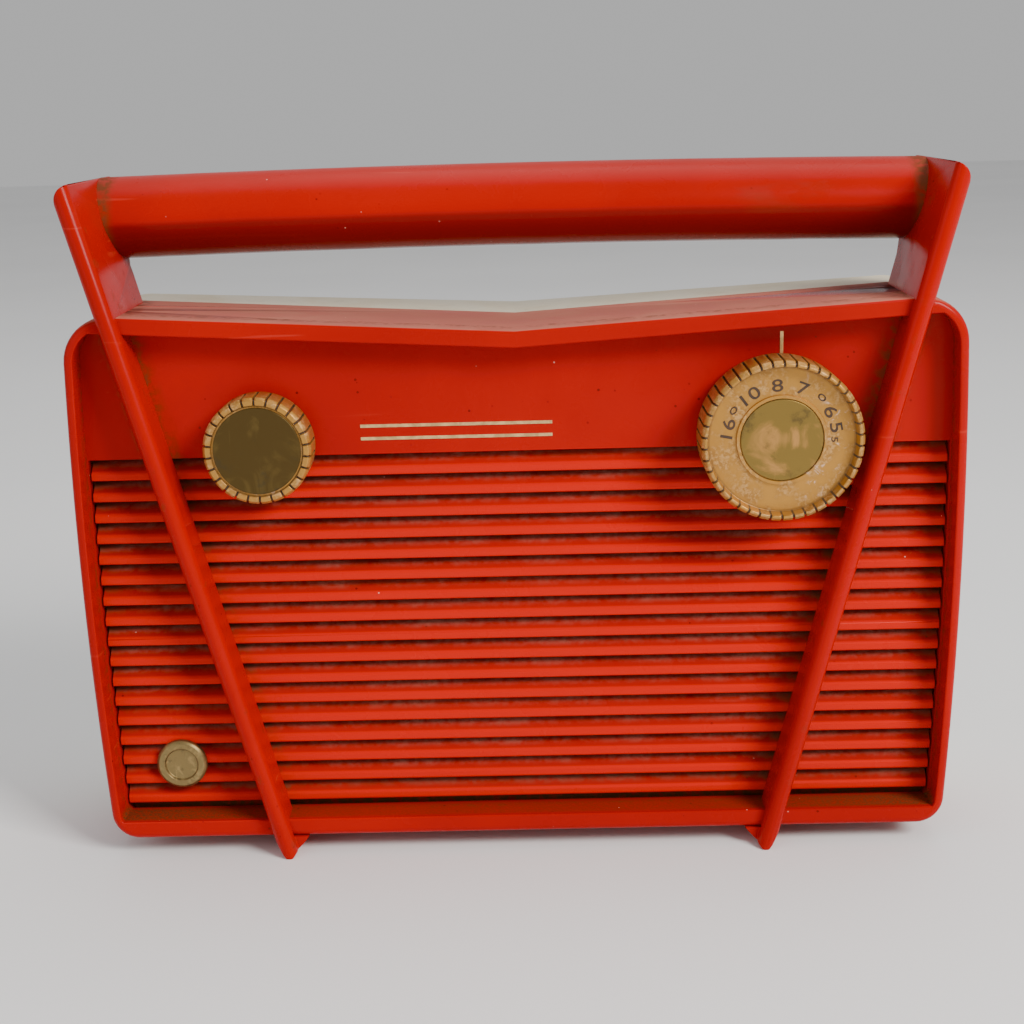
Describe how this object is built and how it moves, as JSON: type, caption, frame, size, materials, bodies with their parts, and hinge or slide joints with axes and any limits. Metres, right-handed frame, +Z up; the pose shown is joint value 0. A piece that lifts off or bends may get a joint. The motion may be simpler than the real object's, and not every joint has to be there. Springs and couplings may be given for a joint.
{
  "type": "portable radio",
  "caption": "Portable battery radio with a louvred front, a carrying handle on slanted arms, a tuning dial, a volume knob and a removable back.",
  "frame": {"origin": "middle of the overall box, on the plane that the feet stand on", "axes": "+X to the radio's right as seen from the front, +Y from the front to the back, +Z up"},
  "size_m": [0.25, 0.076, 0.1975],
  "materials": {
    "red_plastic": "gloss",
    "cream_plastic": "satin",
    "gold_plastic": "satin",
    "dark_brass": "aged",
    "olive_brass": "aged",
    "badge_brass": "aged",
    "gold_foil": "satin",
    "cloth": "matte",
    "steel": "satin",
    "nickel": "satin",
    "zinc_plate": "satin",
    "aluminium_plates": "satin",
    "ceramic": "gloss",
    "black_plastic": "matte",
    "board": "satin",
    "nylon": "matte",
    "can_metal": "satin",
    "capacitor_sleeve": "satin",
    "transformer_steel": "matte",
    "ferrite": "matte",
    "copper_wire": "satin",
    "hardboard": "matte",
    "cone_paper": "matte",
    "magnet": "satin",
    "battery_jacket": "gloss",
    "rubber": "matte"
  },
  "bodies": {
    "cabinet": {"front_shell": "red_plastic", "louvre_grille": "red_plastic", "grille_cloth": "cloth", "left_arm": "red_plastic", "right_arm": "red_plastic", "handle_bar": "red_plastic", "handle_rod": "steel", "arm_screws": "steel", "index_line": "gold_foil", "gold_lines": "gold_foil", "brass_badge": "badge_brass", "volume_control": "zinc_plate", "volume_nut": "steel", "power_switch": "black_plastic", "capacitor_frame": "zinc_plate", "capacitor_stator": "aluminium_plates", "stator_insulators": "ceramic", "chassis_plate": "zinc_plate", "chassis_screws": "steel", "circuit_board": "board", "board_spacers": "nylon", "board_screws": "steel", "if_can_1": "can_metal", "if_can_2": "can_metal", "if_can_3": "can_metal", "transistors": "can_metal", "electrolytics": "capacitor_sleeve", "driver_transformer": "transformer_steel", "output_transformer": "transformer_steel", "ferrite_rod": "ferrite", "antenna_coil": "copper_wire", "antenna_holders": "nylon", "speaker_baffle": "hardboard", "speaker_basket": "zinc_plate", "speaker_cone": "cone_paper", "speaker_dust_cap": "cone_paper", "speaker_magnet": "magnet", "speaker_screws": "steel", "battery_tray_left": "black_plastic", "battery_tray_right": "black_plastic", "battery_1": "battery_jacket", "battery_2": "battery_jacket", "battery_3": "battery_jacket", "battery_4": "battery_jacket", "battery_contacts": "steel"},
    "volume_knob_body": {"volume_knob": "gold_plastic", "volume_knob_disc": "dark_brass", "volume_shaft": "steel"},
    "tuning_body": {"tuning_dial": "gold_plastic", "tuning_dial_disc": "olive_brass", "capacitor_rotor": "aluminium_plates"},
    "back": {"back_cover": "cream_plastic", "rear_feet": "rubber"},
    "fastener_left": {"back_fastener_left": "nickel"},
    "fastener_right": {"back_fastener_right": "nickel"}
  },
  "joints": [
    {"name": "volume_turn", "type": "hinge", "parent": "cabinet", "child": "volume_knob_body", "pos_m": [-0.07163, -0.022, 0.123], "axis": [0, 1, 0], "range_deg": [0, 300]},
    {"name": "tuning_turn", "type": "hinge", "parent": "cabinet", "child": "tuning_body", "pos_m": [0.07251, -0.022, 0.123], "axis": [0, 1, 0], "range_deg": [-95, 85]},
    {"name": "back_off", "type": "slide", "parent": "cabinet", "child": "back", "axis": [0, 1, 0], "range_m": [0, 0.06]},
    {"name": "fastener_left_turn", "type": "hinge", "parent": "back", "child": "fastener_left", "pos_m": [-0.108, 0.028, 0.125], "axis": [0, 1, 0], "range_deg": [0, 90]},
    {"name": "fastener_right_turn", "type": "hinge", "parent": "back", "child": "fastener_right", "pos_m": [0.108, 0.028, 0.125], "axis": [0, 1, 0], "range_deg": [0, 90]}
  ]
}
